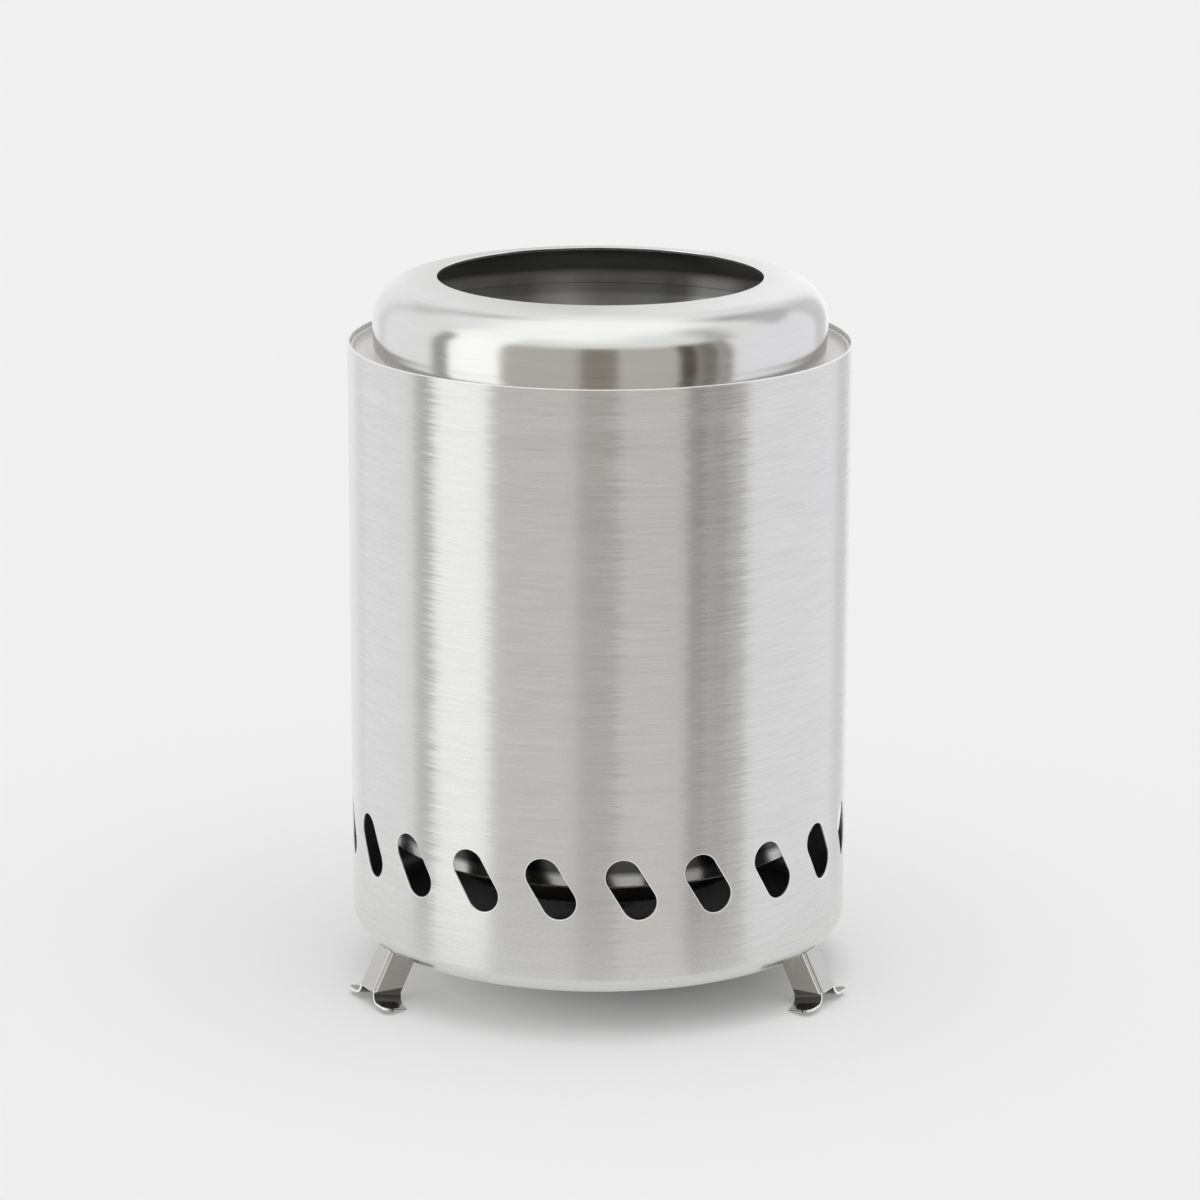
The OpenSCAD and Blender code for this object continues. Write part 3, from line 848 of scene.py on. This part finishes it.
class STOVE_OT_legs(bpy.types.Operator):
    """Finish the three legs and their rivets"""

    bl_idname = "stove.legs"
    bl_label = "Legs"

    def execute(self, context):
        sheet, finishes = context.scene.stove_sheet, context.scene.stove_steel

        def put_on(finish):
            finish.grain(*LEG_GRAIN)
            slope = abs(finish.upward)
            side = slope.falling(LEG_SIDE_FACING, LEG_SIDE_FACING)
            curl = abs(finish.outward).falling(LEG_CURL_FACING, LEG_CURL_FACING)
            # Painted shade on the upright sides
            finish.layer(side, finishes.leg_side_shade_colour, roughness=0.2)
            # Painted highlight along the bends between web and sides
            finish.layer(slope.between(*LEG_BEND_HIGHLIGHT_FACING), finishes.edge_colour, roughness=0.25)
            # Painted shade in the hollow of the curled feet, up to the curl's height
            scale = curl * finish.z.falling(LEG_CURL, LEG_CURL_FADE)
            finish.layer(scale, finishes.curl_shade_colour, roughness=0.3)

        material = steel("satin_leg_steel", finishes.leg_colour, roughness=0.16, anisotropy=0.0,
                         put_on=put_on)
        edge = edge_steel("cut_leg_edge", finishes.edge_colour)
        for node in ("leg_left", "leg_right", "leg_rear"):
            leg = rounded_copy(node, node + "_finished", sheet, sheet.leg_edge_round,
                               sheet.leg_shortest_edge)
            seat(leg, node, STOVE, "leg_steel", material, edge)
        paint_nodes(material, "leg_rivets")
        return {"FINISHED"}


def banded(graph, azimuth, light, bands):
    """A light with the bands over it."""
    for left, right, fade, colour in bands:
        light = graph.mixed(azimuth.between(left, right, fade), light, (*colour, 1.0))
    return light


def studio_light(graph, direction):
    """The studio's light in a direction, for what the steel reflects."""
    x, y, z = graph.split(direction)
    azimuth = x.maths("ARCTAN2", x, 0.0 - y) * math.degrees(1.0)
    light = banded(graph, azimuth, WALL_LIGHT, STUDIO_WALLS)
    eaves = banded(graph, azimuth, EAVES_LIGHT, STUDIO_EAVES)
    roof = banded(graph, azimuth, ROOF_LIGHT, STUDIO_ROOF)
    light = graph.mixed(z.falling(LOW_END, LOW_FADE), light, LOW_LIGHT)
    light = graph.mixed(z.rising(EAVES_START, EAVES_FADE), light, eaves)
    light = graph.mixed(z.rising(ROOF_START, ROOF_FADE), light, roof)
    return graph.mixed(z.rising(TOP_START, TOP_FADE), light, TOP_LIGHT)


class STOVE_OT_studio(bpy.types.Operator):
    """Set up the pale floor, the camera and the light"""

    bl_idname = "stove.studio"
    bl_label = "Studio"

    def execute(self, context):
        studio = context.scene.stove_studio
        self.add_floor(studio)
        self.add_camera(context, studio)
        self.add_world(context, studio)
        self.add_lamp(studio)
        context.scene.view_settings.view_transform = "Standard"
        return {"FINISHED"}

    def add_floor(self, studio):
        """A wide floor, of which the steel shows only the part near the stove."""
        clear_selection()
        bpy.ops.mesh.primitive_circle_add(
            vertices=FLOOR_SIDES, radius=studio.floor_radius, fill_type="NGON",
            location=(0.0, 0.0, CAD_BOX[0].z))
        floor = bpy.context.object
        floor.name = "studio_floor"
        material = bpy.data.materials.new("studio_floor")
        graph = Graph(material)
        seen, glossy = graph.rays()
        x, y, _ = graph.split(graph.node("ShaderNodeTexCoord", {}, {}, "Object"))
        beyond = (x * x + y * y).root().above(studio.table_radius)
        aside = x - studio.shade_aside
        shade = (aside * aside + y * y).root().falling(studio.shade_radius, studio.shade_fade)
        floor_colour, pale_colour = (graph.mixed(shade, colour, darker(colour, studio.shade_share))
                                     for colour in (studio.floor_colour, studio.backdrop_colour))
        plain = graph.node("ShaderNodeBsdfDiffuse", {}, {"Color": floor_colour})
        pale = graph.node("ShaderNodeEmission", {}, {"Color": pale_colour, "Strength": 1.0})
        clear = graph.node("ShaderNodeBsdfTransparent")
        lift = seen * studio.shadow_lift + glossy * studio.mirror_lift
        whole = graph.blended(beyond * glossy, graph.blended(lift, plain, pale), clear)
        graph.node("ShaderNodeOutputMaterial", {}, {"Surface": whole})
        paint(floor, material)

    def add_camera(self, context, studio):
        """The camera in front of the stove, looking down at it."""
        camera = bpy.data.objects.new("camera", bpy.data.cameras.new("camera"))
        camera.data.lens = studio.lens
        camera.data.sensor_width = SENSOR_WIDTH
        camera.data.shift_x = studio.lens_shift
        camera.data.clip_start = CLIP_START
        camera.data.clip_end = CLIP_END
        context.scene.collection.objects.link(camera)
        place = Matrix.Translation((0.0, -studio.camera_distance, studio.camera_height))
        tilt = Matrix.Rotation(0.5 * math.pi - studio.camera_dip, 4, "X")
        roll = Matrix.Rotation(studio.camera_roll, 4, "Z")
        camera.matrix_world = place @ tilt @ roll
        context.scene.camera = camera

    def add_world(self, context, studio):
        """Even light on the stove, the studio in its steel, and a pale backdrop behind it."""
        world = bpy.data.worlds.new("studio")
        context.scene.world = world
        graph = Graph(world)
        seen, glossy = graph.rays()
        direction = graph.node("ShaderNodeTexCoord", {}, {}, "Generated")
        lights = ((studio_light(graph, direction), 1.0), (WHITE, studio.room_strength),
                  (studio.backdrop_colour, 1.0))
        bands, plain, pale = (
            graph.node("ShaderNodeBackground", {}, {"Color": colour, "Strength": strength})
            for colour, strength in lights)
        whole = graph.blended(seen, graph.blended(glossy, plain, bands), pale)
        graph.node("ShaderNodeOutputWorld", {}, {"Surface": whole})

    def add_lamp(self, studio):
        """A broad soft light overhead, which gives the floor its shadow."""
        clear_selection()
        bpy.ops.object.light_add(type="SUN", location=LAMP_PLACE, rotation=LAMP_TURN)
        lamp = bpy.context.object
        lamp.name = "soft_overhead"
        lamp.data.energy = studio.sun_strength
        lamp.data.angle = studio.sun_spread
        lamp.visible_glossy = False


class STOVE_PT_panel(bpy.types.Panel):
    """Buttons for the stove's finish and its studio."""

    bl_idname = "STOVE_PT_panel"
    bl_label = "Twig Stove"
    bl_space_type = "VIEW_3D"
    bl_region_type = "UI"
    bl_category = "Twig Stove"

    def draw(self, context):
        for operator in OPERATORS:
            self.layout.operator(operator.bl_idname)
        for group in ("stove_sheet", "stove_steel", "stove_studio"):
            values = getattr(context.scene, group)
            box = self.layout.box()
            for name in values.__annotations__:
                box.prop(values, name)


OPERATORS = (
    STOVE_OT_outer_shell,
    STOVE_OT_flame_ring,
    STOVE_OT_fire_pot,
    STOVE_OT_grate,
    STOVE_OT_legs,
    STOVE_OT_studio,
)
CLASSES = (SheetProperties, SteelProperties, StudioProperties, *OPERATORS, STOVE_PT_panel)


def register():
    for cls in CLASSES:
        bpy.utils.register_class(cls)
    bpy.types.Scene.stove_sheet = PointerProperty(type=SheetProperties)
    bpy.types.Scene.stove_steel = PointerProperty(type=SteelProperties)
    bpy.types.Scene.stove_studio = PointerProperty(type=StudioProperties)


def unregister():
    del bpy.types.Scene.stove_studio
    del bpy.types.Scene.stove_steel
    del bpy.types.Scene.stove_sheet
    for cls in reversed(CLASSES):
        bpy.utils.unregister_class(cls)


def main():
    register()
    bpy.ops.stove.outer_shell()
    bpy.ops.stove.flame_ring()
    bpy.ops.stove.fire_pot()
    bpy.ops.stove.grate()
    bpy.ops.stove.legs()
    bpy.ops.stove.studio()


if __name__ == "__main__":
    main()
